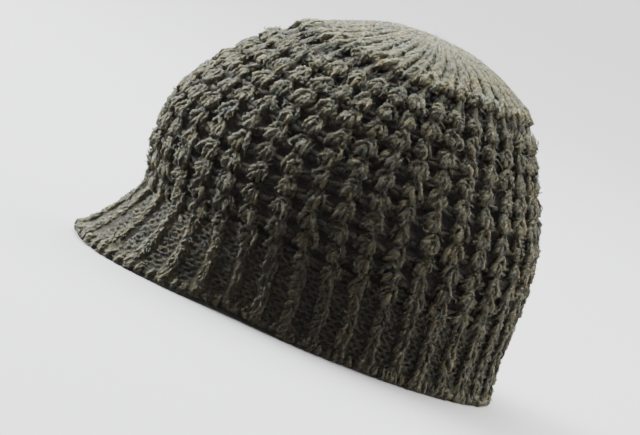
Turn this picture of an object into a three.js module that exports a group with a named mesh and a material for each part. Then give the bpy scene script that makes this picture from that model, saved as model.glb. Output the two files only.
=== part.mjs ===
// A knitted wool beanie with a visor: a body in waffle knit, a plain-knit crown that closes it,
// and a ribbed band that gives way at the front to a stiff ribbed visor.
// Millimetres, +Z up, the visor towards -Y. The hat stands by itself at z = 0, on the back of
// its band and on the two low corners of the visor.
import * as THREE from 'three';

// Driving dimensions
const ribs = 38; // columns of knitting round the hat, one of them in the middle of the visor
const visorRibs = 13; // the columns that run on down the visor instead of the band
const waffleRows = 11; // rows of raised knots from the band to the crown
const ribDepth = 3; // from the crest of a rib down to the recess beside it
const knotDepth = 1.4; // how far a rib sinks from the foot of a knot to its neck
const holeDepth = 3.6; // the recess beside the neck of a knot
const bridgeDepth = 2.2; // the recess beside its foot, where the fabric bridges it
const footAt = 0.18; // where a knot stands proudest, as a share of its row from below
const neckAt = 0.85; // and where it sinks deepest
const waleDepth = 1.2; // grooves of the plain-knit crown
const wall = 6.8; // from the crest of a rib to the inside of the hat
const crownWall = 5; // the same at the middle of the crown
const seamGap = 0.3; // between two pieces knitted or sewn on to each other
const crownSeam = 0.025; // the same at the crown's edge, in levels of the table below

// The visor and the lower edge
const visorReach = 30; // how far the middle of the visor stands out of the band
const visorHalfAngle = THREE.MathUtils.degToRad(62); // from the front to where the flare ends
const visorTilt = 0.63; // how far the visor's upper side faces up, as the height of its normal
const visorLift = 1.8; // the edge at the middle of the visor, above its low corners
const archLift = 4; // the edge where the visor gives way to the band
const archWidth = THREE.MathUtils.degToRad(17);
const edgeSink = 0.3; // sets the low corners of the visor on the ground
const edgeRound = 0.75; // of the lower edge's roundness, the rest is flat on the ground
const outerTurns = [25, 50, 90]; // degrees round the edge, from the outside to its lowest line
const innerTurns = [130, 155]; // and on to the inside
const flareEase = 1.05; // above 1 the flare starts gently under the waffle knit
const flareRoundness = 2.2; // of the visor's outline seen from above

// The outline over the ribs, a row for each level from the ground to the top. front, back and
// half are the distances from the hat's axis towards -Y, +Y and either side.
const sections = [
  { z: 0, front: 98.5, back: 115.5, half: 86 },
  { z: 20, front: 99, back: 112.5, half: 87 },
  { z: 41, front: 104, back: 111.5, half: 88 },
  { z: 58, front: 109, back: 111, half: 89 },
  { z: 75, front: 111, back: 109.5, half: 89 },
  { z: 95, front: 107.5, back: 104, half: 86.5 },
  { z: 116, front: 96, back: 94.5, half: 80 },
  { z: 136, front: 78, back: 84.5, half: 70 },
  { z: 151, front: 61, back: 75, half: 58 },
  { z: 163, front: 35, back: 57, half: 42 },
  { z: 170.5, front: 13, back: 34, half: 23 },
  { z: 172.5, front: -10, back: 10, half: 0 },
];
const joinLevel = 2; // the row where the waffle knit starts, over the band and the visor
const widestLevel = 4;
const crownLevel = 8; // and where it ends
const topLevel = sections.length - 1;
const joinHeight = sections[joinLevel].z;

// Materials, with the mean colours of the marled yarn
const yarn = (color) => new THREE.MeshStandardMaterial({ color, roughness: 0.95, metalness: 0 });
const crownYarn = yarn(0x8b8a7c);
const bodyYarn = yarn(0x57534a);
const bandYarn = yarn(0x4b4841);
const visorYarn = yarn(0x6e6c61);

// A smooth curve through the table: level 2.5 is halfway between rows 2 and 3
function throughRows(pick) {
  const curve = new THREE.CatmullRomCurve3(sections.map(pick), false, 'catmullrom');
  return (level) => curve.getPoint(THREE.MathUtils.clamp(level / topLevel, 0, 1));
}
const reachAt = throughRows((section) => new THREE.Vector3(section.front, section.back, section.half));
const heightAt = throughRows((section) => new THREE.Vector3(section.z, 0, 0));

// A point of the outline. The angle is 0 at the front and grows towards +X.
function outlinePoint(level, angle) {
  const { x: front, y: back, z: half } = reachAt(level);
  const y = (back - front) / 2 - ((back + front) / 2) * Math.cos(angle);
  return new THREE.Vector3(half * Math.sin(angle), y, heightAt(level).x);
}

// How far an angle is from the front, either way round
function fromFront(angle) {
  return Math.abs(THREE.MathUtils.euclideanModulo(angle + Math.PI, 2 * Math.PI) - Math.PI);
}

// Height of the lower edge: flat round the back, arched beside the visor, lifted at its middle
function edgeHeight(angle) {
  const away = fromFront(angle);
  const middle = Math.min(away / (0.6 * visorHalfAngle), 1);
  const lift = visorLift * 0.5 * (1 + Math.cos(middle * Math.PI));
  const arch = archLift * Math.exp(-(((away - visorHalfAngle) / archWidth) ** 2));
  return Math.max(0, lift + arch - edgeSink);
}

// The visor's flare at its edge, from 1 at the front to 0 where the band starts
function flareShare(angle) {
  const share = Math.min(1, fromFront(angle) / visorHalfAngle);
  return (1 - share ** flareRoundness) ** 1.5;
}

// A point of the band or the visor, over the ribs: drop is 0 at the join and 1 where the
// rounded lower edge starts
function skirtPoint(drop, angle) {
  const flare = flareShare(angle);
  const bottom = edgeHeight(angle) + (wall / 2) * (edgeRound + visorTilt * flare);
  const z = THREE.MathUtils.lerp(joinHeight, bottom, drop);
  const above = z > sections[1].z ? 1 : 0;
  const level = above + (z - sections[above].z) / (sections[above + 1].z - sections[above].z);
  const out = visorReach * flare * Math.max(0, drop) ** flareEase;
  const point = outlinePoint(level, angle);
  return point.set(point.x + out * Math.sin(angle), point.y - out * Math.cos(angle), z);
}

// The outward normal and the way on along a surface, at one of its points
function frameAt(surface, along, angle) {
  const step = 0.01;
  const onward = surface(along + step, angle).sub(surface(along - step, angle)).normalize();
  const round = surface(along, angle + step).sub(surface(along, angle - step));
  const normal = round.cross(onward).normalize();
  const facesIn = normal.x * Math.sin(angle) < normal.y * Math.cos(angle);
  return { normal: facesIn ? normal.negate() : normal, onward };
}

// A point of a surface moved inward by a depth
function inset(surface, along, angle, depth) {
  const { normal } = frameAt(surface, along, angle);
  return surface(along, angle).addScaledVector(normal, -depth);
}

// Turns a share from 0 to 1 of a curve's length into the parameter it is reached at
function evenly(curve, from, to) {
  const steps = 2000;
  const parameter = (i) => THREE.MathUtils.lerp(from, to, i / steps);
  const lengths = [0];
  for (let i = 1; i <= steps; i++) {
    lengths.push(lengths[i - 1] + curve(parameter(i)).distanceTo(curve(parameter(i - 1))));
  }
  return (share) => {
    const target = share * lengths[steps];
    const i = THREE.MathUtils.clamp(lengths.findIndex((length) => length >= target), 1, steps);
    return parameter(i - 1 + (target - lengths[i - 1]) / (lengths[i] - lengths[i - 1]));
  };
}

// The ribs stand at equal distances round the hat's widest section, the rows of knots at equal
// distances up its side
const roundShare = evenly((angle) => outlinePoint(widestLevel, angle), 0, 2 * Math.PI);
const upShare = evenly((level) => outlinePoint(level, Math.PI / 2), joinLevel, crownLevel);

// The angle of a rib: 0 is the front, and a half is the groove beside it
function ribAngle(rib) {
  const turns = Math.floor(rib / ribs);
  return turns * 2 * Math.PI + roundShare(rib / ribs - turns);
}

// The points across a rib: shift from its middle in ribs, height 1 on the crest, 0 in the recess
const waffleAcross = [
  { shift: -0.2, height: 1 },
  { shift: 0.2, height: 1 },
  { shift: 0.5, height: 0 },
];
const ribbingAcross = [
  { shift: -0.33, height: 0 },
  { shift: -0.17, height: 1 },
  { shift: 0.17, height: 1 },
  { shift: 0.33, height: 0 },
];
const plainAcross = [
  { shift: 0, height: 1 },
  { shift: 0.5, height: 0 },
];
const insideAcross = [{ shift: 0, height: 0 }];

// The points of a row, for ribs first to last, spacing apart
function stations(first, last, across, spacing = 1) {
  const list = [];
  for (let rib = first; rib <= last; rib += spacing) {
    for (const { shift, height } of across) {
      list.push({ angle: ribAngle(rib + shift * spacing), height });
    }
  }
  return list;
}

// As stations, for a piece that ends in the groove beside its first and its last rib
function openStations(first, last, across) {
  const trim = seamGap / (2 * sections[1].half);
  const start = { angle: ribAngle(first - 0.5) + trim, height: 0 };
  const end = { angle: ribAngle(last + 0.5) - trim, height: 0 };
  return [start, ...stations(first, last, across), end];
}

// Joins two rows by triangles. On a closed row the last point meets the first.
function bridge(faces, a, b, closed) {
  const stepsOf = (row) => (row.length === 1 ? 0 : row.length - (closed ? 0 : 1));
  const stepsA = stepsOf(a);
  const stepsB = stepsOf(b);
  let i = 0;
  let j = 0;
  while (i < stepsA || j < stepsB) {
    const nextB = b[(j + 1) % b.length];
    if (i < stepsA && (j >= stepsB || (i + 1) / stepsA <= (j + 1) / stepsB)) {
      const nextA = a[(i + 1) % a.length];
      faces.push(a[i % a.length], nextA, b[j % b.length]);
      i++;
    } else {
      faces.push(a[i % a.length], nextB, b[j % b.length]);
      j++;
    }
  }
}

// One closed solid from rows of points that run up the outside and down the inside.
// A closed one goes all round the hat; an open one is capped at both ends.
function shell(rows, closed) {
  const points = [];
  const numbered = rows.map((row) => row.map((point) => points.push(point) - 1));
  const faces = [];
  numbered.forEach((row, i) => {
    bridge(faces, row, numbered[(i + 1) % numbered.length], closed);
  });
  for (const end of closed ? [] : [0, -1]) {
    const rim = numbered.map((row) => row.at(end));
    const section = rim.map((i) => new THREE.Vector2(Math.hypot(points[i].x, points[i].y), points[i].z));
    for (const [a, b, c] of THREE.ShapeUtils.triangulateShape(section, [])) {
      faces.push(rim[a], ...(end === 0 ? [rim[b], rim[c]] : [rim[c], rim[b]]));
    }
  }
  const geometry = new THREE.BufferGeometry().setFromPoints(points);
  geometry.setIndex(faces);
  geometry.computeVertexNormals();
  return geometry;
}

// A row on a surface, sunk by a depth for each height across the ribs. A row that lies against
// another piece is cut level.
function surfaceRow(surface, along, round, depthOf, cutHeight = null) {
  return round.map(({ angle, height }) => {
    const point = inset(surface, along, angle, depthOf(height));
    return cutHeight === null ? point : point.setZ(cutHeight);
  });
}

const ribbed = (height) => ribDepth * (1 - height);
const inside = () => wall;

// The waffle-knit body. Each knot is proud at its foot and sinks towards its neck, under the
// foot of the next one.
function waffleBody() {
  const round = stations(0, ribs - 1, waffleAcross);
  const innerRound = stations(0, ribs - 1, insideAcross);
  const foot = (height) => bridgeDepth * (1 - height);
  const neck = (height) => THREE.MathUtils.lerp(holeDepth, knotDepth, height);
  const levelOf = (knot) => upShare(knot / waffleRows);
  const cut = joinHeight + seamGap / 2;
  const outer = [surfaceRow(outlinePoint, joinLevel, round, ribbed, cut)];
  for (let knot = 0; knot < waffleRows; knot++) {
    outer.push(surfaceRow(outlinePoint, levelOf(knot + footAt), round, foot));
    outer.push(surfaceRow(outlinePoint, levelOf(knot + neckAt), round, neck));
  }
  outer.push(surfaceRow(outlinePoint, crownLevel, round, neck));
  const inner = [];
  for (let level = crownLevel; level > joinLevel + 0.5; level -= 1) {
    inner.push(surfaceRow(outlinePoint, level, innerRound, inside));
  }
  inner.push(surfaceRow(outlinePoint, joinLevel, innerRound, inside, cut));
  return shell([...outer, ...inner], true);
}

// The plain-knit crown. Its pairs of wales are worked together on the way up, which halves
// their number, and gathered at the top.
function crownTop() {
  const rings = [
    { level: crownLevel + crownSeam, spacing: 1, thickness: wall },
    { level: 9, spacing: 1, thickness: 6 },
    { level: 9.6, spacing: 1, thickness: 5.5 },
    { level: 10.3, spacing: 2, thickness: crownWall },
    { level: 10.8, spacing: 2, thickness: crownWall },
  ];
  const grooved = (height) => waleDepth * (1 - height);
  const outer = rings.map(({ level, spacing }) => {
    return surfaceRow(outlinePoint, level, stations(0, ribs - 1, plainAcross, spacing), grooved);
  });
  const inner = rings.map(({ level, spacing, thickness }) => {
    return surfaceRow(outlinePoint, level, stations(0, ribs - 1, insideAcross, spacing), () => thickness);
  });
  const apex = outlinePoint(topLevel, 0);
  const innerApex = apex.clone().setZ(apex.z - crownWall);
  return shell([...outer, [apex], [innerApex], ...inner.reverse()], true);
}

// The band or the visor, from its rounded lower edge up the outside and down the inside
function skirt(first, last) {
  const round = openStations(first, last, ribbingAcross);
  const innerRound = openStations(first, last, insideAcross);
  const cut = joinHeight - seamGap / 2;
  const roundedEdge = (degrees, points) => {
    const turn = THREE.MathUtils.degToRad(degrees);
    return points.map(({ angle, height }) => {
      const { normal, onward } = frameAt(skirtPoint, 1, angle);
      const crest = ribbed(height);
      const depth = (wall + crest) / 2 - ((wall - crest) / 2) * Math.cos(turn);
      const point = skirtPoint(1, angle).addScaledVector(normal, -depth);
      point.addScaledVector(onward, (wall / 2) * Math.sin(turn));
      return point.setZ(Math.max(point.z, edgeHeight(angle)));
    });
  };
  const rows = [
    ...outerTurns.toReversed().map((degrees) => roundedEdge(degrees, round)),
    ...[1, 0.75, 0.5, 0.25].map((drop) => surfaceRow(skirtPoint, drop, round, ribbed)),
    surfaceRow(skirtPoint, 0, round, ribbed, cut),
    surfaceRow(skirtPoint, 0, innerRound, inside, cut),
    ...[0.33, 0.67, 1].map((drop) => surfaceRow(skirtPoint, drop, innerRound, inside)),
    ...innerTurns.toReversed().map((degrees) => roundedEdge(degrees, innerRound)),
  ];
  return shell(rows, false);
}

const lastVisorRib = (visorRibs - 1) / 2;
const pieces = [
  { name: 'crown_top', geometry: crownTop(), material: crownYarn },
  { name: 'crown_body', geometry: waffleBody(), material: bodyYarn },
  { name: 'rib_band', geometry: skirt(lastVisorRib + 1, ribs - lastVisorRib - 1), material: bandYarn },
  { name: 'visor', geometry: skirt(-lastVisorRib, lastVisorRib), material: visorYarn },
];

const hat = new THREE.Group();
for (const { name, geometry, material } of pieces) {
  const mesh = new THREE.Mesh(geometry, material);
  mesh.name = name;
  hat.add(mesh);
}

// The origin lies under the middle of the whole hat, visor included
const middle = new THREE.Box3().setFromObject(hat).getCenter(new THREE.Vector3());
for (const mesh of hat.children) {
  mesh.position.y = -middle.y;
}

export default hat;
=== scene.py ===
# A beanie with a visor, knitted from modelled marled yarn. Lengths are millimetres until the
# meshes are made, which are in metres.
import math

import bpy
import numpy as np
from mathutils import Matrix, Vector


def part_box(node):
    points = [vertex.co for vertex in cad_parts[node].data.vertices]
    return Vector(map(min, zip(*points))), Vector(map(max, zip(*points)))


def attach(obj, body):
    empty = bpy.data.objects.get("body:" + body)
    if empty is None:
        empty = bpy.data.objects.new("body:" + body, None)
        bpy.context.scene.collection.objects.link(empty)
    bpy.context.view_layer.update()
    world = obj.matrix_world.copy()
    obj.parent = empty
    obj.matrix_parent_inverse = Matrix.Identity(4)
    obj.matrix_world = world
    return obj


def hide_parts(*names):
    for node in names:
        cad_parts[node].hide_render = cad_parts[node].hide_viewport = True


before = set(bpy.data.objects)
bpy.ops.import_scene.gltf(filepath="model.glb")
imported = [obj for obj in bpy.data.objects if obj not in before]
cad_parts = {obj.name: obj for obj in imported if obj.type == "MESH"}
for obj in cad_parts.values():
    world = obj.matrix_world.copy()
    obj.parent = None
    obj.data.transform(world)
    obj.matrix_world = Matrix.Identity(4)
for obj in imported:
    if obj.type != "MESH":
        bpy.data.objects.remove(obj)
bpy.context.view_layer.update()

rng = np.random.default_rng(11)

# Driving dimensions of the hat
RIBS = 38
LAST_VISOR_RIB = 6
WAFFLE_ROWS = 11
WALL = 6.8
CROWN_WALL = 5.0
SEAM_GAP = 0.3
VISOR_REACH = 30.0
VISOR_HALF_ANGLE = math.radians(62)
VISOR_TILT = 0.63
VISOR_LIFT = 1.8
ARCH_LIFT = 4.0
ARCH_WIDTH = math.radians(17)
EDGE_SINK = 0.3
EDGE_ROUND = 0.75
FLARE_EASE = 1.05
FLARE_ROUNDNESS = 2.2
SECTIONS = [
    dict(z=0, front=98.5, back=115.5, half=86),
    dict(z=20, front=99, back=112.5, half=87),
    dict(z=41, front=104, back=111.5, half=88),
    dict(z=58, front=109, back=111, half=89),
    dict(z=75, front=111, back=109.5, half=89),
    dict(z=95, front=107.5, back=104, half=86.5),
    dict(z=116, front=96, back=94.5, half=80),
    dict(z=136, front=78, back=84.5, half=70),
    dict(z=151, front=61, back=75, half=58),
    dict(z=163, front=35, back=57, half=42),
    dict(z=170.5, front=13, back=34, half=23),
    dict(z=172.5, front=-10, back=10, half=0),
]
JOIN_LEVEL = 2
WIDEST_LEVEL = 4
CROWN_LEVEL = 8
TOP_LEVEL = len(SECTIONS) - 1
COLUMNS = {name: np.array([row[name] for row in SECTIONS], float) for name in SECTIONS[0]}
JOIN_HEIGHT = COLUMNS["z"][JOIN_LEVEL]

# The knitting
SKIRT_STITCHES = 8  # stitches up the band and the visor
STITCH_LENGTH = JOIN_HEIGHT / SKIRT_STITCHES
CROWN_STITCH = 5.1  # length of a stitch of the crown
YARN_TWIST = 12.0  # length of a full turn of the plies
COLUMN_LEAN = -0.45  # ribs that a column of knots drifts over from the join to the crown
INSIDE_SHADE = 2.0  # how deep in the knitting the inside of the hat counts as, for its painted shade
SHADE_DEPTH = 6.0  # depth in the knitting that counts as 1 for the painted shade
RIB_PITCH = 16.5  # about what lies from one rib to the next, where the hat is widest
EDGE_LOOPS = 3  # loops of the edge to a rib
EDGE_CLEARANCE = 2.4  # of the base fabric, over the line that the hat stands on
LEAST_HEIGHT = 0.15  # of the yarn over the ground

# The three plies of a yarn, as shares of its radius
PLY = dict(distance=0.5, sway=0.2, radius=0.6, unevenness=0.06)
PLY_WANDER = 0.8  # radians that a ply strays round the yarn
PLY_WAVES = 8, 20  # radians of its waves over a stitch, the least and the most

# How far stitches differ from one another, each as a standard deviation
UNEVEN = dict(width=0.08, radius=0.05, lean=0.13, tilt=0.08, row=0.02)

# The knots of the waffle, each measure as some rows and its values there
KNOT_HEIGHT = (0, 5, 9), (0.76, 0.74, 0.66)  # in rows
KNOT_HEAD = (0, 2, 5, 9), (0.73, 0.65, 0.83, 1.02)  # from the start of the row, in rows
KNOT_LEAN = (0, 5, 8), (0.18, 0.15, 0.0)  # of the head, in widths of the knot
TOP_ROW_DEPTH = 2.9  # how deep the last row lies, under the edge of the crown; it gets as much painted shade again

# The base fabric, and the bars between the knots
RIB_BASE_DEPTH = 0.9  # of the fabric behind the ribs of the crown, the band and the visor
PIT_DEPTH = 5.6
COLUMN_RISE = 3.9  # from the bottom of the pits to the fabric behind the knots
UPPER_ROWS = 7, 9  # the rows that the next two pairs are for
BRIDGE_RISE = 2.4, 1.0  # of the fabric, between one pit and the next
BAR_DEPTH = 0.3, 1.5  # of the bars, under their own level; the bars also get as much painted shade, and a little more

# Loose fibres and locks: each pair gives the least and the most
FIBRE = dict(reach=(1.5, 5.0), lift=(0.0, 0.9), curl=(-1.0, 1.0), arc=(0.0, 0.2), width=0.24)
LOCK = dict(reach=(1.5, 4.0), lift=(-0.3, 0.3), curl=(-1.6, 1.6), arc=(0.1, 0.6), radius=(0.2, 0.45))
KNOT_LOCKS = 8
KNOT_FIBRES = 12
RIB_FIBRES = 200  # on each rib of the band and the visor
CROWN_FIBRES = 6000


def smoothed(values, at):
    """The values on a smooth curve through them: at 2.5 is halfway between numbers 2 and 3."""
    start_number = np.minimum(np.floor(at).astype(int), len(values) - 2)
    share = (at - start_number).reshape(np.shape(at) + (1,) * (values.ndim - 1))
    padded = np.concatenate([[2 * values[0] - values[1]], values, [2 * values[-1] - values[-2]]])
    before, start, end, after = (padded[start_number + k] for k in range(4))
    leave = (end - before) / 2
    arrive = (after - start) / 2
    cubic = 2 * start - 2 * end + leave + arrive
    square = -3 * start + 3 * end - 2 * leave - arrive
    return ((cubic * share + square) * share + leave) * share + start


def outline(level, angle):
    """The hat's surface over its ribs. The angle is 0 at the front and grows towards +X."""
    level = np.clip(level, 0, TOP_LEVEL)
    front, back, half, z = (smoothed(COLUMNS[name], level) for name in ("front", "back", "half", "z"))
    y = (back - front) / 2 - (back + front) / 2 * np.cos(angle)
    return np.stack(np.broadcast_arrays(half * np.sin(angle), y, z), -1)


def from_front(angle):
    """How far an angle lies from the front, on either side."""
    return np.abs((angle + np.pi) % (2 * np.pi) - np.pi)


def edge_height(angle):
    """The lower edge rises at the visor's nose, and in an arch at either end of the visor."""
    away = from_front(angle)
    middle = np.minimum(away / (0.6 * VISOR_HALF_ANGLE), 1)
    lift = VISOR_LIFT * 0.5 * (1 + np.cos(middle * np.pi))
    arch = ARCH_LIFT * np.exp(-(((away - VISOR_HALF_ANGLE) / ARCH_WIDTH) ** 2))
    return np.maximum(0, lift + arch - EDGE_SINK)


def flare_share(angle):
    """How much of its whole reach the visor has: 1 at the front, and 0 from its ends on."""
    share = np.minimum(1, from_front(angle) / VISOR_HALF_ANGLE)
    return (1 - share**FLARE_ROUNDNESS) ** 1.5


def skirt(drop, angle):
    """The band or the visor over its ribs: drop is 0 at the join and 1 at the rounded edge."""
    flare = flare_share(angle)
    bottom = edge_height(angle) + WALL / 2 * (EDGE_ROUND + VISOR_TILT * flare)
    z = JOIN_HEIGHT + (bottom - JOIN_HEIGHT) * drop
    heights = COLUMNS["z"][: JOIN_LEVEL + 2]
    point = outline(np.interp(z, heights, np.arange(JOIN_LEVEL + 2)), angle)
    out = VISOR_REACH * flare * np.maximum(0, drop) ** FLARE_EASE
    point[..., 0] += out * np.sin(angle)
    point[..., 1] -= out * np.cos(angle)
    point[..., 2] = z
    return point


def unit(vectors):
    return vectors / np.maximum(np.linalg.norm(vectors, axis=-1, keepdims=True), 1e-9)


def directions(surface, along, angle):
    """The outward normal and the way on along a surface."""
    step = 0.01
    onward = unit(surface(along + step, angle) - surface(along - step, angle))
    around = surface(along, angle + step) - surface(along, angle - step)
    normal = unit(np.cross(around, onward))
    outward = normal[..., 0] * np.sin(angle) - normal[..., 1] * np.cos(angle)
    return np.where(outward[..., None] < 0, -normal, normal), onward


def evenly(curve, start, end):
    """A curve's parameters and the lengths they are reached at."""
    parameters = np.linspace(start, end, 2001)
    steps = np.linalg.norm(np.diff(curve(parameters), axis=0), axis=1)
    return parameters, np.concatenate([[0], np.cumsum(steps)])


ROUND_ANGLES, ROUND_LENGTHS = evenly(lambda angle: outline(WIDEST_LEVEL, angle), 0, 2 * np.pi)
UP_LEVELS, UP_LENGTHS = evenly(lambda level: outline(level, np.pi / 2), 0, TOP_LEVEL)
JOIN_LENGTH, CROWN_LENGTH = np.interp([JOIN_LEVEL, CROWN_LEVEL], UP_LEVELS, UP_LENGTHS)
CROWN_ROWS = (UP_LENGTHS[-1] - CROWN_LENGTH) / CROWN_STITCH


def rib_angle(rib):
    """The angle of a rib: 0 is the front, and a half is the groove beside it."""
    turns = np.floor(rib / RIBS)
    length = (rib / RIBS - turns) * ROUND_LENGTHS[-1]
    return turns * 2 * np.pi + np.interp(length, ROUND_LENGTHS, ROUND_ANGLES)


# A fabric turns ribs round, rows up and millimetres outwards into points
def body_fabric(rib, row, out):
    rib, row, out = np.broadcast_arrays(rib, row, out)
    length = JOIN_LENGTH + (CROWN_LENGTH - JOIN_LENGTH) * row / WAFFLE_ROWS
    level = np.interp(length, UP_LENGTHS, UP_LEVELS)
    angle = rib_angle(rib + COLUMN_LEAN * np.clip(row / WAFFLE_ROWS, 0, 1))
    normal, _ = directions(outline, level, angle)
    return outline(level, angle) + normal * out[..., None]


def crown_fabric(rib, row, out):
    rib, row, out = np.broadcast_arrays(rib, row, out)
    level = np.interp(CROWN_LENGTH + row * CROWN_STITCH, UP_LENGTHS, UP_LEVELS)
    level = np.minimum(level, TOP_LEVEL - 0.02)
    angle = rib_angle(rib + COLUMN_LEAN)
    normal, _ = directions(outline, level, angle)
    return outline(level, angle) + normal * out[..., None]


def skirt_fabric(rib, row, out):
    """Rows below 0 run round the rounded edge, and then up the inside."""
    rib, row, out = np.broadcast_arrays(rib, row, out)
    angle = rib_angle(rib)
    edge_rows = math.pi * WALL / 2 / STITCH_LENGTH
    inner_rows = np.maximum(-row - edge_rows, 0)
    drop = 1 - np.where(row >= 0, row, inner_rows) / SKIRT_STITCHES
    turn = np.clip(-row / edge_rows, 0, 1) * math.pi
    normal, onward = directions(skirt, drop, angle)
    cosine, sine = np.cos(turn)[..., None], np.sin(turn)[..., None]
    point = skirt(drop, angle) + normal * (WALL / 2 * (cosine - 1)) + onward * (WALL / 2 * sine)
    facing = normal * cosine + onward * sine
    return point + facing * out[..., None]


def keep_above_edge(points, rib):
    """Holds points of the band or the visor over the line that the hat stands on."""
    floor = edge_height(rib_angle(rib)) + EDGE_CLEARANCE
    points[..., 2] = np.maximum(points[..., 2], floor)
    return points


def arch(half, count):
    """A whole stitch from one side of it: side in half widths, up in heights, out in mm."""
    left = [(row["side"], row["up"], row["out"]) for row in half]
    right = [(-side, up, out) for side, up, out in reversed(left[:-1])]
    controls = np.array(left + right, float)
    return smoothed(controls, np.linspace(0, len(controls) - 1, count)).T


# Half a stitch each, from a foot to the middle of its head
KNOT_HALF = [
    dict(side=-0.95, up=-0.06, out=-2.4),
    dict(side=-1.25, up=-0.04, out=-0.2),
    dict(side=-1.25, up=0.22, out=0.8),
    dict(side=-1.02, up=0.54, out=0.6),
    dict(side=-0.68, up=0.82, out=0.1),
    dict(side=-0.34, up=0.97, out=-0.2),
    dict(side=0, up=1.0, out=-0.4),
]
INNER_HALF = [
    dict(side=-0.6, up=-0.06, out=-2.6),
    dict(side=-1.0, up=0.08, out=-0.1),
    dict(side=-0.85, up=0.5, out=-0.3),
    dict(side=-0.45, up=0.85, out=-0.9),
    dict(side=0, up=1.0, out=-1.3),
]
PLAIN_HALF = [
    dict(side=-0.75, up=-0.16, out=-1.9),
    dict(side=-1.05, up=0.02, out=-0.4),
    dict(side=-0.95, up=0.35, out=0.1),
    dict(side=-0.5, up=0.78, out=-0.3),
    dict(side=0, up=1.0, out=-1.0),
]


def frames(paths):
    """The way on along each path, and two directions across it that turn as little as they can."""
    tangent = unit(np.gradient(paths, axis=1))
    normal = np.empty_like(paths)
    start = np.where(np.abs(tangent[:, 0, 2:]) < 0.8, [[0.0, 0, 1]], [[1.0, 0, 0]])
    normal[:, 0] = unit(np.cross(tangent[:, 0], start))
    for i in range(1, paths.shape[1]):
        carried = normal[:, i - 1]
        along = np.sum(carried * tangent[:, i], axis=1, keepdims=True)
        normal[:, i] = unit(carried - along * tangent[:, i])
    return tangent, normal, np.cross(tangent, normal)


def lengths_along(paths):
    steps = np.linalg.norm(np.diff(paths, axis=1), axis=2)
    return np.concatenate([np.zeros((len(paths), 1)), np.cumsum(steps, axis=1)], axis=1)


def joined(arrays):
    """Values of strands by points by sides, from several arrays, as one list of vertices has them."""
    return np.concatenate([values.reshape(-1, *values.shape[3:]) for values in arrays])


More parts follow.
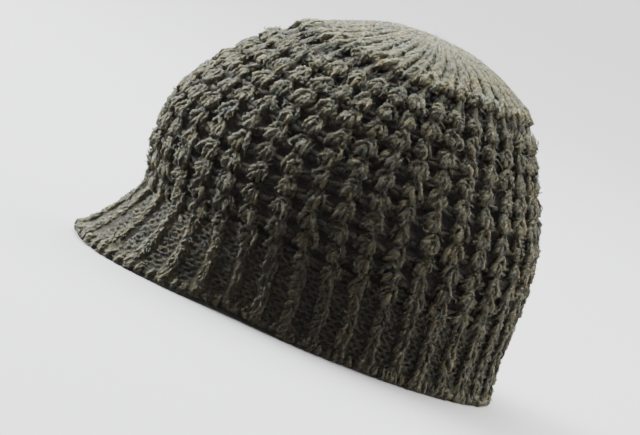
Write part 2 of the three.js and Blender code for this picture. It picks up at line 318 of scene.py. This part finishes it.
class Yarns:
    """Gathers strands of yarn, and makes one mesh of them."""

    def __init__(self):
        self.parts = []
        self.skins = []
        self.ribbons = []

    def plied(self, paths, radius, depth, outward):
        """Yarn of three plies that wind loosely round one another."""
        _, normal, binormal = frames(paths)
        per_strand = len(paths), 1
        turn = lengths_along(paths) * 2 * np.pi / YARN_TWIST + rng.uniform(0, 2 * np.pi, per_strand)
        along = np.linspace(0, 1, paths.shape[1])
        for third in range(3):
            wave = along * rng.uniform(*PLY_WAVES, per_strand) + rng.uniform(0, 7, per_strand)
            angle = turn + third * 2 * np.pi / 3 + PLY_WANDER * np.sin(wave)
            away = (PLY["distance"] + PLY["sway"] * np.cos(wave * 0.8)) * radius[:, None]
            aside = normal * np.cos(angle)[..., None] + binormal * np.sin(angle)[..., None]
            aside = aside * away[..., None]
            rise = np.sum(aside * outward, axis=-1)
            thickness = radius * rng.normal(PLY["radius"], PLY["unevenness"], len(paths))
            self.add(paths + aside, thickness, depth + rise, outward, sides=4, lobes=0.0)

    def add(self, paths, radius, depth, outward, sides, lobes=0.13, loose=False):
        """Strands of equal point counts: arrays of strands by points, and a radius per strand.

        Each strand narrows at its ends. Its section bulges in three places, by lobes as a share
        of its radius. A loose one gets a colour of its own."""
        count, points, _ = paths.shape
        tangent, normal, binormal = frames(paths)
        length = lengths_along(paths)
        ply = np.arange(sides) / sides * 2 * np.pi
        start_turn = rng.uniform(0, 2 * np.pi, (count, 1))
        turn = (start_turn + length * 2 * np.pi / YARN_TWIST)[..., None] + ply
        lobe = 1 + lobes * np.cos(3 * ply)
        from_end = np.minimum(np.arange(points), np.arange(points)[::-1])
        taper = np.minimum(1, 0.55 + 0.25 * from_end)
        reach = (np.broadcast_to(radius, (count,))[:, None] * taper)[..., None] * lobe
        rim = normal[:, :, None] * np.cos(turn)[..., None]
        rim = rim + binormal[:, :, None] * np.sin(turn)[..., None]
        verts = paths[:, :, None] + rim * reach[..., None]
        facing = np.sum(rim * outward[:, :, None], axis=-1)
        # How deep each point lies in the knitting, which sets its painted shade
        sunk = -(depth[..., None] + reach * facing)
        offset = rng.uniform(0, 400, (count, 1))
        along = (length + offset)[..., None]
        strand = np.stack(np.broadcast_arrays(along, np.cos(ply), np.sin(ply)), -1)
        seed = np.broadcast_to(rng.uniform(0, 1, (count, 1, 1)) + 2 * loose, turn.shape)
        self.parts.append((verts, strand, seed, sunk))
        skin = (verts, facing, sunk, tangent[:, :, None] + 0 * rim, outward[:, :, None] + 0 * rim)
        self.skins.append([each.reshape(facing.size, -1) for each in skin])

    def loose_paths(self, count, points, spread):
        """Short curling paths that start on the outer side of the yarn, where it lies high."""
        root, facing, sunk, tangent, outward = (np.concatenate(each) for each in zip(*self.skins))
        shows = (facing[:, 0] > 0.1) & (sunk[:, 0] < 3)
        pick = rng.choice(np.flatnonzero(shows), count)
        root, sunk, tangent, outward = root[pick], sunk[pick], tangent[pick], outward[pick]
        sideways = unit(np.cross(outward, tangent))
        turn = rng.normal(0, 0.9, (count, 1))
        ahead = tangent * np.cos(turn) + sideways * np.sin(turn)
        beside = unit(np.cross(outward, ahead))
        along = np.linspace(0, 1, points)[:, None]
        per_path = count, 1, 1
        names = "reach", "lift", "curl", "arc"
        reach, lift, curl, arc = (rng.uniform(*spread[name], per_path) for name in names)
        bend = curl * np.sin(along * rng.uniform(3, 7, per_path))
        rise = lift * along ** rng.uniform(0.6, 2.2, per_path) + arc * np.sin(along * np.pi) - 0.1
        path = root[:, None] + reach * along * ahead[:, None]
        path = path + bend * beside[:, None] + rise * outward[:, None]
        return path, beside[:, None], outward[:, None], sunk

    def fibres(self, count):
        """Single fibres that stand off the yarn, each a narrow ribbon."""
        path, beside, _, sunk = self.loose_paths(count, 4, FIBRE)
        width = FIBRE["width"] / 2 * np.linspace(1, 0.4, 4)[:, None] * beside
        verts = np.stack([path - width, path + width], axis=2)
        shape = verts.shape[:3]
        seed = np.broadcast_to(rng.uniform(2, 3, (count, 1, 1)), shape)
        self.ribbons.append((verts, np.zeros(verts.shape), seed, np.broadcast_to(sunk[:, None], shape)))

    def locks(self, count):
        """Curled locks of fibres that lie on the yarn."""
        path, _, outward, sunk = self.loose_paths(count, 6, LOCK)
        depth = np.broadcast_to(-sunk, path.shape[:2])
        self.add(path, rng.uniform(*LOCK["radius"], count), depth, outward + 0 * path, 3, loose=True)

    def mesh(self, name):
        """One mesh of all the strands, which have closed ends, and of the flat ribbons."""
        everything = self.parts + self.ribbons
        quads, caps = [], []
        base = 0
        for points, *_ in everything:
            index = base + np.arange(points[..., 0].size).reshape(points.shape[:3])
            beside = np.roll(index, -1, axis=2)
            wall = np.stack([index[:, :-1], beside[:, :-1], beside[:, 1:], index[:, 1:]], -1)
            flat = points.shape[2] == 2
            if flat:
                wall = wall[:, :, :1]
            else:
                caps.append(np.concatenate([index[:, 0, ::-1], index[:, -1]]))
            quads.append(wall.reshape(-1, 4))
            base += index.size
        verts, strand, seed, sunk = (joined(column) for column in zip(*everything))
        return make_mesh(name, verts, [np.concatenate(quads), *caps], strand, seed, sunk)


def make_mesh(name, verts, face_groups, strand, seed, sunk):
    """A smooth mesh from arrays of points and of faces, each array with one face size."""
    mesh = bpy.data.meshes.new(name)
    mesh.vertices.add(len(verts))
    placed = (verts + [0, AXIS_Y, 0]) / 1000
    mesh.vertices.foreach_set("co", placed.astype(np.float32).ravel())
    sizes = np.concatenate([np.full(len(faces), faces.shape[1]) for faces in face_groups])
    corners = np.concatenate([faces.ravel() for faces in face_groups])
    mesh.loops.add(len(corners))
    mesh.loops.foreach_set("vertex_index", corners.astype(np.int32))
    mesh.polygons.add(len(sizes))
    starts = np.concatenate([[0], np.cumsum(sizes)[:-1]])
    mesh.polygons.foreach_set("loop_start", starts.astype(np.int32))
    mesh.polygons.foreach_set("loop_total", sizes.astype(np.int32))
    mesh.polygons.foreach_set("use_smooth", np.ones(len(sizes), bool))
    # The depth of each point in the knitting, which darkens the wool as painted shade
    for attribute, kind, field, values in (
        ("strand", "FLOAT_VECTOR", "vector", strand),
        ("seed", "FLOAT", "value", seed),
        ("sunk", "FLOAT", "value", np.clip(sunk / SHADE_DEPTH, 0, 1)),
    ):
        layer = mesh.attributes.new(attribute, kind, "POINT")
        layer.data.foreach_set(field, values.astype(np.float32).ravel())
    mesh.update(calc_edges=True)
    return mesh


def dress(name, mesh, material, node):
    """Makes a piece of the hat, with its wool, in the place of a plain solid."""
    piece = bpy.data.objects.new(name, mesh)
    bpy.context.scene.collection.objects.link(piece)
    mesh.materials.append(material)
    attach(piece, "root")
    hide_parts(node)


def sheet_mesh(name, rows, sunk, closed_round):
    """A closed base fabric from a grid of points that runs up the outside and down the inside."""
    count, width, _ = rows.shape
    index = np.arange(count * width).reshape(count, width)
    above = np.roll(index, -1, axis=0)
    if closed_round:
        lower, upper = index, above
        lower_next, upper_next = np.roll(index, -1, axis=1), np.roll(above, -1, axis=1)
        caps = []
    else:
        lower, upper = index[:, :-1], above[:, :-1]
        lower_next, upper_next = index[:, 1:], above[:, 1:]
        caps = [index[::-1, 0][None], index[:, -1][None]]
    quads = np.stack([lower, lower_next, upper_next, upper], -1).reshape(-1, 4)
    across = np.linalg.norm(np.diff(rows, axis=1, prepend=rows[:, :1]), axis=2).cumsum(axis=1)
    up = np.linalg.norm(np.diff(rows, axis=0, prepend=rows[:1]), axis=2).cumsum(axis=0)
    strand = np.stack([across, up * 0.5, up * 0.0], -1).reshape(-1, 3)
    seed = np.zeros(count * width)
    return make_mesh(name, rows.reshape(-1, 3), [quads, *caps], strand, seed, sunk.reshape(-1))


def pitch_of(fabric, rib, row):
    """Millimetres from one rib to the next."""
    return np.linalg.norm(fabric(rib + 0.5, row, 0.0) - fabric(rib - 0.5, row, 0.0), axis=-1)


def stitches(
    yarns, fabric, shape, rib, row, half_width, height, radius,
    wander=0.25, drawn_in=0.0, shade=0.0, sides=None, lean=-0.04,
):
    """Knits a stitch at each rib and row given. half_width is in mm and height in rows.

    A stitch wanders by chance. One that is drawn in lies that much deeper, and one with shade is
    painted as dark as one that lies that much deeper. Its head leans by so many widths of it. With
    sides it is a plain strand of as many sides, and else plied."""
    side, up, out = shape
    count = len(rib)
    pitch = pitch_of(fabric, rib, row)
    half_width = np.broadcast_to(half_width, (count,)) * rng.normal(1, UNEVEN["width"], count)
    radius = np.broadcast_to(radius, (count,)) * rng.normal(1, UNEVEN["radius"], count)
    shift = rng.normal(0, wander, (count, 3))
    per_stitch = count, 1
    lean = np.broadcast_to(lean, (count,))[:, None] + rng.normal(0, UNEVEN["lean"], per_stitch)
    across = half_width[:, None] * side + shift[:, :1] + lean * half_width[:, None] * up * 2
    tilt = rng.normal(0, UNEVEN["tilt"], per_stitch) * side
    rows = row[:, None] + height * (up + tilt + rng.normal(0, UNEVEN["row"], per_stitch))
    drawn_in, shade = (np.broadcast_to(value, (count,))[:, None] for value in (drawn_in, shade))
    depth = out + 0.6 * shift[:, 2:] - radius[:, None] - drawn_in
    along = np.linspace(0, 1, len(side))
    for bent in (across, depth):
        wave = np.sin(along * rng.uniform(5, 9, per_stitch) + rng.uniform(0, 7, per_stitch))
        bent += wave * 1.3 * wander
    ribs = rib[:, None] + across / pitch[:, None]
    paths = fabric(ribs, rows, depth)
    outward = fabric(ribs, rows, depth + 1) - paths
    if sides:
        yarns.add(paths, radius, depth - shade, outward, sides)
    else:
        yarns.plied(paths, radius, depth - shade, outward)


# Where the middle of the sections lies, worked out from the back of the hat's body
BODY_BACK = outline(np.linspace(JOIN_LEVEL, CROWN_LEVEL, 200), np.pi)[:, 1].max()
AXIS_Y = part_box("crown_body")[1][1] * 1000 - BODY_BACK


def grid_of(ribs, rows):
    """Each rib with each row."""
    rib, row = np.meshgrid(ribs, rows)
    return rib.ravel().astype(float), row.ravel().astype(float)


def ridge(rib, width):
    """1 in the middle of a rib and 0 away from it, for a width in ribs."""
    off = rib - np.round(rib)
    return np.exp(-((off / width) ** 2))


def waffle_base():
    """The fabric behind the knots, with a pit between each four."""
    ribs = np.arange(RIBS * 6) / 6
    rows = np.concatenate([[0.03], np.arange(1, WAFFLE_ROWS * 5) / 5, [WAFFLE_ROWS - 0.03]])
    rib, row = np.meshgrid(ribs, rows)
    bridge = np.cos(2 * np.pi * (row - 0.2)) * 0.5 + 0.5
    bridge *= np.interp(row, UPPER_ROWS, BRIDGE_RISE)
    out = -PIT_DEPTH + COLUMN_RISE * ridge(rib, 0.27) + bridge * (1 - ridge(rib, 0.3))
    outer = body_fabric(rib, row, out)
    inner_rib, inner_row = np.meshgrid(ribs, rows[::-2])
    inner = body_fabric(inner_rib, inner_row, -WALL + 0.5 * ridge(inner_rib, 0.3))
    outer[0, :, 2] = inner[-1, :, 2] = JOIN_HEIGHT + SEAM_GAP / 2
    # Painted shade by depth: the pits are darkest, and the inside is as dark all over
    sunk = np.concatenate([-out, np.full(inner_rib.shape, INSIDE_SHADE)])
    return sheet_mesh("waffle_base", np.concatenate([outer, inner]), sunk, True)


def waffle_knots(first_row, last_row):
    """Plump knots: each is two arches of yarn, one inside the other, and a strand that fills them.

    The last row is drawn in under the crown, and painted darker with as much shade again."""
    yarns = Yarns()
    rib, row = grid_of(np.arange(RIBS), np.arange(first_row, last_row))
    width = 2.35 + 0.08 * pitch_of(body_fabric, rib, row + 0.5)
    deep = np.where(row == WAFFLE_ROWS - 1, TOP_ROW_DEPTH, 0)
    height = np.interp(row, *KNOT_HEIGHT)[:, None]
    foot = row + np.interp(row, *KNOT_HEAD) - height[:, 0]
    lean = np.interp(row, *KNOT_LEAN)
    rib = rib - 0.25 * lean
    outer, inner, core = arch(KNOT_HALF, 15), arch(KNOT_HALF, 11), arch(INNER_HALF, 8)
    # drop is in rows, broad and high are shares of the knot's width and height, and radius,
    # wander and inset are in mm
    for shape, drop, broad, high, radius, wander, inset, sides in (
        (outer, 0.0, 1.0, 1.0, 1.85, 0.55, 0.0, None),
        (inner, 0.1, 0.58, 0.8, 1.7, 0.55, -0.2, None),
        (core, 0.22, 0.4, 0.8, 1.7, 0.35, -1.1, 5),
    ):
        stitches(
            yarns, body_fabric, shape, rib, foot - drop,
            half_width=broad * width, height=high * height, radius=radius, wander=wander,
            drawn_in=deep + inset, shade=deep, sides=sides, lean=lean / broad,
        )
    yarns.locks(KNOT_LOCKS * len(rib))
    yarns.fibres(KNOT_FIBRES * len(rib))
    return yarns.mesh("waffle_knots")


def waffle_bars():
    """Pairs of short sagging strands from each knot to the next, with the pits between them."""
    yarns = Yarns()
    rib, row = grid_of(np.arange(RIBS) + 0.5, np.arange(WAFFLE_ROWS))
    pitch = pitch_of(body_fabric, rib, row)
    side = np.linspace(-1, 1, 6)
    drawn_in = np.interp(row, UPPER_ROWS, BAR_DEPTH)
    start = np.maximum(row, 0.15)  # the lowest bars stay clear of the band
    middle = 1 - side**2
    for up, depth in ((0.34, -1.0), (0.1, -1.1)):
        shape = side, up - 0.1 * middle, depth - 0.5 * middle
        # Painted shade on the bars: as much as their drawing in, and half a millimetre more
        stitches(
            yarns, body_fabric, shape, rib, start,
            half_width=0.34 * pitch, height=1.0, radius=1.7, wander=0.4,
            drawn_in=drawn_in, shade=0.5 + drawn_in, sides=4,
        )
    return yarns.mesh("waffle_bars")


def skirt_base(first, last):
    """The fabric of the band or the visor, round its edge and up its inside."""
    edge_rows = math.pi * WALL / 2 / STITCH_LENGTH
    trim = SEAM_GAP / 2 / RIB_PITCH
    ribs = np.linspace(first - 0.5 + trim, last + 0.5 - trim, (last - first + 1) * 8 + 1)
    outside = np.linspace(SKIRT_STITCHES, 0, 25)
    rounded = -np.linspace(0, edge_rows, 11)[1:]
    within = -edge_rows - np.linspace(0, SKIRT_STITCHES, 13)[1:]
    rib, row = np.meshgrid(ribs, np.concatenate([outside, rounded, within]))
    trough = np.interp(row, [-1, 1.5], [RIB_BASE_DEPTH, 3.4])
    out = -trough + (trough - RIB_BASE_DEPTH) * ridge(rib, 0.2)
    rows = keep_above_edge(skirt_fabric(rib, row, out), rib)
    rows[0, :, 2] = rows[-1, :, 2] = JOIN_HEIGHT - SEAM_GAP / 2
    # Painted shade by depth: the outside as if it lay 0.8 mm deeper, and the inside as dark all over
    sunk = np.where(row < -edge_rows, INSIDE_SHADE, -out + 0.8)
    return sheet_mesh("skirt_base", rows[::-1], sunk[::-1], False)


def skirt_yarns(first, last, first_trough, last_trough, fullness):
    """The ridges of the ribs, the purl stitches between them, and the loops of the edge.

    Fullness is the ridges' share of their whole width. All yarn is held over the ground."""
    yarns = Yarns()
    rib, row = grid_of(np.arange(first, last + 1), np.arange(-1, SKIRT_STITCHES))
    side, up, out = arch(PLAIN_HALF, 13)
    shape = side, up, out + 0.6 * fullness
    stitches(
        yarns, skirt_fabric, shape, rib, row - 0.1,
        half_width=2.3 * fullness, height=1.35, radius=1.8, wander=0.35 * fullness,
    )
    side = np.linspace(-1, 1, 13)
    troughs = np.arange(first_trough, last_trough + 1) + 0.5
    for half in range(2):
        bars, rows = grid_of(troughs, np.arange(-1, SKIRT_STITCHES) + (half / 2 + 0.2))
        wave = np.cos(side * 2 * np.pi + half * np.pi)
        shape = side, 0.12 * wave, -2.2 + 0.5 * np.cos(side * 4 * np.pi) - 0.9 * side**8
        stitches(
            yarns, skirt_fabric, shape, bars, rows,
            half_width=5.9, height=1.0, radius=1.05, wander=0.2, sides=7,
        )
    loops = np.arange(first - 1 / EDGE_LOOPS, last + 0.5, 1 / EDGE_LOOPS)
    around = np.linspace(0, 1, 11)
    shape = 0.5 - around, 0.7 - 2.5 * around, 1.2 - 1.6 * around**2 - 3 * (2 * around - 1) ** 6
    deep = rng.uniform(0, 0.6, len(loops))
    stitches(
        yarns, skirt_fabric, shape, loops, np.zeros(len(loops)),
        half_width=2.4, height=1.0, radius=2.0, wander=0.4, drawn_in=deep,
    )
    yarns.fibres(RIB_FIBRES * (last - first + 1))
    for points, *_ in yarns.parts + yarns.ribbons:
        points[..., 2] = np.maximum(points[..., 2], LEAST_HEIGHT)
    return yarns.mesh("skirt_yarns")


def crown_base():
    """The crown's fabric, whose troughs grow shallow towards the middle."""
    ribs = np.arange(RIBS * 6) / 6
    rows = np.concatenate([[0.06], np.linspace(0.5, CROWN_ROWS - 0.25, 26)])
    rib, row = np.meshgrid(ribs, rows)
    depth = np.interp(row, [0, 3, 6.5, CROWN_ROWS], [4.6, 3.4, 1.3, RIB_BASE_DEPTH])
    out = -depth + (depth - RIB_BASE_DEPTH) * ridge(rib, 0.3)
    outer = crown_fabric(rib, row, out)
    inner_rib, inner_row = np.meshgrid(ribs, rows[::-2])
    depth = WALL + (CROWN_WALL - WALL) * np.clip(inner_row / CROWN_ROWS * 2, 0, 1)
    inner = crown_fabric(inner_rib, inner_row, -depth)
    # Painted shade by depth: the troughs are darkest, and the inside is as dark all over
    sunk = np.concatenate([-out, np.full(inner_rib.shape, INSIDE_SHADE)])
    return sheet_mesh("crown_base", np.concatenate([outer, inner]), sunk, True)


def crown_yarns():
    """Columns of plain stitches that run to the middle, from a bold stitch each at the edge.

    Towards the middle every second column ends, and the others widen."""
    yarns = Yarns()
    first, rim = grid_of(np.arange(RIBS), [-0.1])
    pitch = pitch_of(crown_fabric, first, rim)
    stitches(
        yarns, crown_fabric, arch(KNOT_HALF, 16), first, rim,
        half_width=0.28 * pitch, height=1.7, radius=2.0, wander=0.3, drawn_in=-0.7,
    )
    stitches(
        yarns, crown_fabric, arch(INNER_HALF, 10), first, rim,
        half_width=0.14 * pitch, height=1.3, radius=1.6, wander=0.2,
    )
    side, up, out = arch(PLAIN_HALF, 13)
    smooth = side, up, 0.55 * out
    halving_row = 8
    outer_rows = np.arange(1, halving_row)
    middle_rows = np.arange(halving_row, int(CROWN_ROWS))
    for wales, rows in ((RIBS, outer_rows), (RIBS // 2, middle_rows)):
        step = RIBS / wales
        rib, row = grid_of(np.arange(wales) * step, rows)
        pitch = pitch_of(crown_fabric, rib, row + 0.5) * step
        fullness = np.interp(row, [0, 6], [0.19, 0.26])
        # Painted shade on the stitches near the edge, fading out by the sixth row
        shade = np.interp(row, [0, 6], [0.9, 0])
        stitches(
            yarns, crown_fabric, smooth, rib, row,
            half_width=fullness * pitch, height=1.45, radius=fullness * pitch,
            wander=0.15, shade=shade, sides=9,
        )
    yarns.fibres(CROWN_FIBRES)
    return yarns.mesh("crown_yarns")


# Materials
def node(tree, kind, inputs=(), **settings):
    """A shader node with its settings. Each of its inputs is a value or another node's output."""
    made = tree.nodes.new(kind)
    for key, value in settings.items():
        setattr(made, key, value)
    for socket, value in dict(inputs).items():
        if isinstance(value, bpy.types.NodeSocket):
            tree.links.new(value, made.inputs[socket])
        else:
            made.inputs[socket].default_value = value
    return made


def mix(tree, factor, first, second, blend="MIX"):
    inputs = {0: factor, 6: first, 7: second}
    return node(tree, "ShaderNodeMix", inputs, data_type="RGBA", blend_type=blend).outputs[2]


def arithmetic(tree, operation, *values):
    return node(tree, "ShaderNodeMath", dict(enumerate(values)), operation=operation).outputs[0]


def grey(value):
    return value, value, value


def ramp(tree, factor, stops):
    made = node(tree, "ShaderNodeValToRGB", {"Fac": factor})
    elements = made.color_ramp.elements
    while len(elements) < len(stops):
        elements.new(0.5)
    for element, (position, colour) in zip(elements, stops):
        element.position = position
        element.color = (*colour, 1)
    return made.outputs["Color"]


def marled_wool(name, tone_and_painted_light, contrast, curled):
    """Plies of olive, grey, golden-brown and blue-grey fibres, twisted along the strand.

    Tone makes the wool lighter, and each part's is set partly as painted light. Contrast is that of
    its fibres, and curled that of the pale and dark threads that curl over it. It is painted darker
    the deeper it lies in the knitting, as shade in the hollows."""
    material = bpy.data.materials.new(name)
    material.use_nodes = True
    tree = material.node_tree
    tree.nodes.clear()
    strand = node(tree, "ShaderNodeAttribute", attribute_name="strand").outputs["Vector"]
    seed = node(tree, "ShaderNodeAttribute", attribute_name="seed").outputs["Fac"]

    def noise(scale, detail, size, w=0.0, distortion=0.0):
        placed = {"Vector": strand, "Scale": scale}
        stretched = node(tree, "ShaderNodeMapping", placed).outputs["Vector"]
        inputs = {"Vector": stretched, "Scale": size, "Detail": detail, "W": w, "Distortion": distortion}
        return node(tree, "ShaderNodeTexNoise", inputs, noise_dimensions="4D").outputs["Fac"]

    sunk = node(tree, "ShaderNodeAttribute", attribute_name="sunk").outputs["Fac"]
    ply = noise((0.06, 0.7, 0.7), detail=1.0, size=1.0, w=seed)
    fibre = noise((0.9, 1.8, 1.8), detail=3.0, size=1.6, distortion=2.2)
    fleck = noise((1.1, 2.4, 2.4), detail=2.0, size=1.2, w=4.0, distortion=2.2)
    curl = noise((1.0, 1.2, 1.2), detail=1.0, size=0.7, w=2.0, distortion=1.0)
    # Threads, dark and pale by turns, along the contours of a curling pattern
    bands = 0.34, 0.40, 0.46, 0.52, 0.58, 0.64, 0.70
    threads = ramp(tree, curl, [(at, grey(1 - curled * (-1) ** i)) for i, at in enumerate(bands)])
    hue = ramp(tree, ply, [
        (0.30, (0.19, 0.220, 0.235)),
        (0.42, (0.28, 0.280, 0.190)),
        (0.52, (0.37, 0.345, 0.215)),
        (0.60, (0.38, 0.290, 0.150)),
        (0.72, (0.48, 0.485, 0.345)),
    ])
    fibre_shades = (0.38, 0.14), (0.5, 0.75), (0.61, 1.8)
    shade = ramp(tree, fibre, [(at, grey(1 + contrast * (level - 1))) for at, level in fibre_shades])
    shade = mix(tree, 1.0, shade, threads, "MULTIPLY")
    mixed = mix(tree, 1.0, hue, shade, "MULTIPLY")
    pale = ramp(tree, fleck, [(0.54, grey(0.0)), (0.64, grey(0.5))])
    flecked = mix(tree, pale, mixed, (0.70, 0.71, 0.54, 1))

    # Each strand has its own tint, and a loose lock or fibre its own colour
    chance = node(tree, "ShaderNodeTexWhiteNoise", {"W": seed}, noise_dimensions="1D").outputs["Value"]
    stray = ramp(tree, chance, [
        (0.0, (0.22, 0.20, 0.16)),
        (0.25, (0.36, 0.28, 0.16)),
        (0.45, (0.40, 0.41, 0.32)),
        (0.65, (0.31, 0.35, 0.34)),
        (0.85, (0.47, 0.48, 0.39)),
    ])
    loose = arithmetic(tree, "GREATER_THAN", seed, 1.5)
    tint = ramp(tree, chance, [
        (0.0, (0.64, 0.68, 0.72)),
        (0.35, (0.88, 0.92, 0.91)),
        (0.65, (1.08, 1.09, 1.0)),
        (1.0, (1.34, 1.26, 1.06)),
    ])
    tinted = mix(tree, 1.0, flecked, tint, "MULTIPLY")
    fibred = mix(tree, loose, tinted, stray)
    # Painted shade: the deeper a point lies in the knitting, the darker its colour
    shades = (0.0, 1.0), (0.32, 0.66), (0.58, 0.28), (0.9, 0.14)
    deep = ramp(tree, sunk, [(at, grey(level * tone_and_painted_light)) for at, level in shades])
    shaded = mix(tree, 1.0, fibred, deep, "MULTIPLY")
    bumps = arithmetic(tree, "ADD", fibre, fleck)
    bumps = arithmetic(tree, "MULTIPLY_ADD", threads, 0.5, bumps)
    relief = {"Strength": 1.0, "Distance": 0.0008, "Height": bumps}
    bump = node(tree, "ShaderNodeBump", relief).outputs["Normal"]
    shader = node(tree, "ShaderNodeBsdfPrincipled", {
        "Base Color": shaded,
        "Roughness": 0.92,
        "Specular IOR Level": 0.15,
        "Sheen Weight": 0.4,
        "Sheen Roughness": 0.5,
        "Normal": bump,
    })
    node(tree, "ShaderNodeOutputMaterial", {"Surface": shader.outputs["BSDF"]})
    return material


def plain(name, colour, roughness):
    material = bpy.data.materials.new(name)
    material.use_nodes = True
    shader = material.node_tree.nodes["Principled BSDF"]
    shader.inputs["Base Color"].default_value = (*colour, 1)
    shader.inputs["Roughness"].default_value = roughness
    return material


# The hat
# The parts' copies of the one wool differ in tone as painted light and shade: the crown on top is palest
# and the band below is darkest
crown_wool = marled_wool("crown_wool", tone_and_painted_light=1.42, contrast=0.75, curled=0.5)
waffle_wool = marled_wool("waffle_wool", tone_and_painted_light=1.1, contrast=0.75, curled=0.65)
band_wool = marled_wool("band_wool", tone_and_painted_light=0.94, contrast=0.7, curled=0.45)
visor_wool = marled_wool("visor_wool", tone_and_painted_light=1.02, contrast=0.65, curled=0.35)
dress("crown_fabric", crown_base(), crown_wool, "crown_top")
dress("crown_stitches", crown_yarns(), crown_wool, "crown_top")
dress("waffle_fabric", waffle_base(), waffle_wool, "crown_body")
dress("waffle_bars", waffle_bars(), waffle_wool, "crown_body")
dress("waffle_knots_low", waffle_knots(0, 4), waffle_wool, "crown_body")
dress("waffle_knots_middle", waffle_knots(4, 8), waffle_wool, "crown_body")
dress("waffle_knots_high", waffle_knots(8, WAFFLE_ROWS), waffle_wool, "crown_body")
BAND_RIBS = LAST_VISOR_RIB + 1, RIBS - LAST_VISOR_RIB - 1
VISOR_RIBS = -LAST_VISOR_RIB, LAST_VISOR_RIB
dress("band_fabric", skirt_base(*BAND_RIBS), band_wool, "rib_band")
band_stitches = skirt_yarns(*BAND_RIBS, BAND_RIBS[0], BAND_RIBS[1] - 1, fullness=1.0)
dress("band_stitches", band_stitches, band_wool, "rib_band")
dress("visor_fabric", skirt_base(*VISOR_RIBS), visor_wool, "visor")
visor_stitches = skirt_yarns(*VISOR_RIBS, VISOR_RIBS[0] - 1, VISOR_RIBS[1], fullness=0.6)
dress("visor_stitches", visor_stitches, visor_wool, "visor")


# The stage: a pale floor that rises gently far from the hat
def stage():
    flat, far = 2.5, 13.0  # radii of the flat part and of the edge, in metres
    rise, around = 0.016, 96
    profile = [(0.0, 0.0)] + [(r, rise * (r - flat) ** 2) for r in np.linspace(flat, far, 24)]
    angles = np.arange(around) / around * 2 * math.pi
    rings = [(r * math.cos(a), r * math.sin(a), z) for r, z in profile[1:] for a in angles]
    verts = [(0, 0, 0), *rings]
    onward = [(i, (i + 1) % around) for i in range(around)]
    faces = [(0, 1 + i, 1 + j) for i, j in onward]
    for ring in range(len(profile) - 2):
        low, high = 1 + ring * around, 1 + (ring + 1) * around
        faces += [(low + i, high + i, high + j, low + j) for i, j in onward]
    mesh = bpy.data.meshes.new("floor")
    mesh.from_pydata(verts, [], faces)
    mesh.shade_smooth()
    floor = bpy.data.objects.new("floor", mesh)
    bpy.context.scene.collection.objects.link(floor)
    mesh.materials.append(plain("pale_floor", (0.745, 0.738, 0.762), 0.9))
    floor.visible_diffuse = False


def area_light(name, place, target, size, watts, colour):
    light = bpy.data.lights.new(name, "AREA")
    light.shape = "DISK"
    light.size = size
    light.energy = watts
    light.color = colour
    lamp = bpy.data.objects.new(name, light)
    lamp.location = place
    lamp.rotation_euler = (Vector(target) - Vector(place)).to_track_quat("-Z", "Y").to_euler()
    bpy.context.scene.collection.objects.link(lamp)


def sun_light(name, place, angle, strength, colour):
    light = bpy.data.lights.new(name, "SUN")
    light.color = colour
    light.angle = math.radians(angle)
    light.energy = strength
    lamp = bpy.data.objects.new(name, light)
    lamp.rotation_euler = Vector(place).to_track_quat("Z", "Y").to_euler()
    bpy.context.scene.collection.objects.link(lamp)


stage()
sun_light("overhead_light", place=(-0.45, 0.0, 1), angle=70, strength=7.6, colour=(0.975, 1, 0.96))
area_light(
    "back_light", place=(-0.2, 1.9, 0.2), target=(0, 0, 0.02), size=2.4, watts=60,
    colour=(1, 0.97, 0.91),
)
area_light(
    "visor_light", place=(-0.8, -1.9, 1.0), target=(0, -0.08, 0.08), size=1.8, watts=162,
    colour=(0.93, 0.97, 1),
)
world = bpy.data.worlds.new("studio")
bpy.context.scene.world = world
world.use_nodes = True
background = world.node_tree.nodes["Background"]
background.inputs["Color"].default_value = (1.0, 0.93, 0.96, 1)
background.inputs["Strength"].default_value = 0.19


# The camera, rolled so that the rim slopes down to the right
def camera():
    width, height = 640, 435
    focal, axis_x, axis_y = 3331, 355.7, 178.2  # in pixels
    azimuth, elevation, roll = 82, 5.39, 23.28
    distance, look_height = 1.8, 0.085
    sensor = 36
    a, e = math.radians(azimuth), math.radians(elevation)
    back = Vector((math.sin(a) * math.cos(e), -math.cos(a) * math.cos(e), math.sin(e)))
    right = Vector((math.cos(a), math.sin(a), 0))
    up = back.cross(right)
    turn = math.radians(roll)
    rolled_right = right * math.cos(turn) + up * math.sin(turn)
    rolled_up = back.cross(rolled_right)
    data = bpy.data.cameras.new("camera")
    data.sensor_width = sensor
    data.lens = sensor * focal / width
    data.shift_x = (width / 2 - axis_x) / width
    data.shift_y = (axis_y - height / 2) / width
    made = bpy.data.objects.new("camera", data)
    place = Vector((0, AXIS_Y / 1000, look_height)) + back * distance
    rotation = Matrix((rolled_right, rolled_up, back)).transposed()
    made.matrix_world = Matrix.Translation(place) @ rotation.to_4x4()
    bpy.context.scene.collection.objects.link(made)
    bpy.context.scene.camera = made


camera()
bpy.context.view_layer.update()
